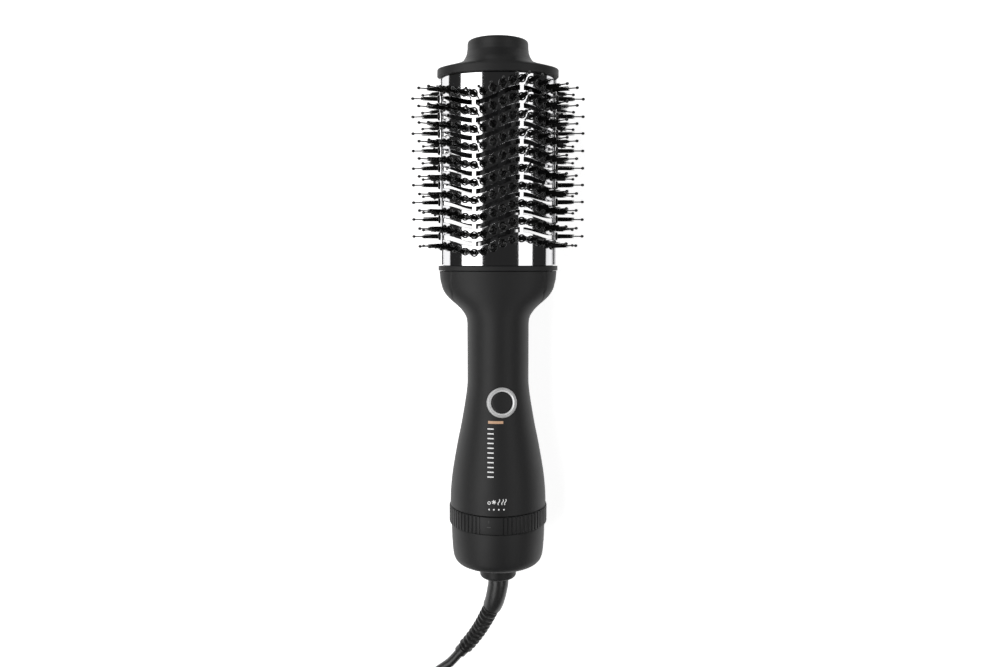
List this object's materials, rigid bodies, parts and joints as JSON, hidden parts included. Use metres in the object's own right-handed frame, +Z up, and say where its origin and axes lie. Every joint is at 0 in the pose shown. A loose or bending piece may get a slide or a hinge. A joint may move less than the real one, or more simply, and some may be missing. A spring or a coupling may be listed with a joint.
{
  "type": "hot air brush",
  "caption": "One-step hot air brush: oval slotted metal barrel with wavy bristle rows, detachable head, round button, turning control ring, swivel mains lead.",
  "frame": {"origin": "middle of the brush's footprint on the table, the lead left out; the brush lies on its back bristles and its control ring", "axes": "+Y towards the cool tip, +X to the right of the button side, +Z up, out of the button side"},
  "size_m": [0.1567, 0.5759, 0.0805],
  "materials": {
    "soft_black": "satin",
    "barrel_metal": "polished",
    "bristle_black": "gloss",
    "dark_trim": "satin",
    "bezel_silver": "satin",
    "rubber_black": "satin",
    "steel": "satin",
    "mica": "matte",
    "heater_wire": "satin",
    "inner_plastic": "matte",
    "brass": "polished",
    "board_green": "matte",
    "print_white": "satin",
    "print_copper": "satin"
  },
  "bodies": {
    "handle": {"front_cover": "soft_black", "rear_cover": "soft_black", "cover_screw": "steel", "button_bezel": "bezel_silver", "spring_seat": "inner_plastic", "button_spring": "steel", "latch_pin": "steel", "heater_sleeve": "mica", "heater_frame": "mica", "heater_coil": "heater_wire", "thermostat": "steel", "thermal_fuse": "inner_plastic", "fan_shroud": "inner_plastic", "motor_guide_vanes": "inner_plastic", "motor_can": "steel", "motor_terminal_plate": "board_green", "ring_sleeve": "inner_plastic", "switch_board": "board_green", "switch_contacts": "brass", "live_wire": "rubber_black", "neutral_wire": "rubber_black", "end_cap": "soft_black", "inlet_grille": "inner_plastic", "inlet_filter": "steel", "swivel_collar": "soft_black", "swivel_contact": "brass", "power_cord": "rubber_black", "cord_coil": "rubber_black", "plug_lead": "rubber_black", "plug_body": "rubber_black", "plug_blade_left": "brass", "plug_blade_right": "brass"},
    "head": {"cool_tip_cap": "soft_black", "barrel_shell": "barrel_metal", "side_strip_left": "dark_trim", "side_strip_right": "dark_trim", "bristle_row_01": "bristle_black", "bristle_row_02": "bristle_black", "bristle_row_03": "bristle_black", "bristle_row_04": "bristle_black", "bristle_row_05": "bristle_black", "bristle_row_06": "bristle_black", "bristle_row_07": "bristle_black", "bristle_row_08": "bristle_black", "bristle_row_09": "bristle_black", "bristle_row_10": "bristle_black", "air_guide_tube": "steel", "head_base_ring": "soft_black"},
    "button": {"release_button": "soft_black"},
    "latch": {"latch_lever": "inner_plastic"},
    "ring": {"control_ring": "soft_black", "switch_rotor": "inner_plastic"},
    "fan": {"fan_impeller": "inner_plastic", "motor_shaft": "steel"},
    "swivel": {"swivel_ball": "dark_trim", "cord_boot": "rubber_black"}
  },
  "joints": [
    {"name": "head_slide", "type": "slide", "parent": "handle", "child": "head", "axis": [0, 0.9994, 0.0346], "range_m": [0, 0.045]},
    {"name": "button_press", "type": "slide", "parent": "handle", "child": "button", "axis": [-0.1213, -0.1154, -0.9859], "range_m": [0, 0.0018], "stiffness_N_per_m": 900, "springref_m": -0.001, "deforming": ["button_spring"]},
    {"name": "latch_turn", "type": "hinge", "parent": "handle", "child": "latch", "pos_m": [0, -0.00714, 0.05236], "axis": [1, 0, 0], "range_deg": [0, 2.4]},
    {"name": "ring_turn", "type": "hinge", "parent": "handle", "child": "ring", "pos_m": [0, -0.13053, 0.03247], "axis": [0, 0.9994, 0.0346], "range_deg": [0, 17.7]},
    {"name": "fan_spin", "type": "hinge", "parent": "handle", "child": "fan", "pos_m": [0, -0.06857, 0.03462], "axis": [0, 0.9994, 0.0346], "continuous": true},
    {"name": "swivel_spin", "type": "hinge", "parent": "handle", "child": "swivel", "pos_m": [0, -0.1741, 0.03096], "axis": [0, 0.9994, 0.0346], "continuous": true, "deforming": ["power_cord"]}
  ],
  "couplings": [
    {"joint": "latch_turn", "follows": "button_press", "rad_per_m": 21.3}
  ]
}
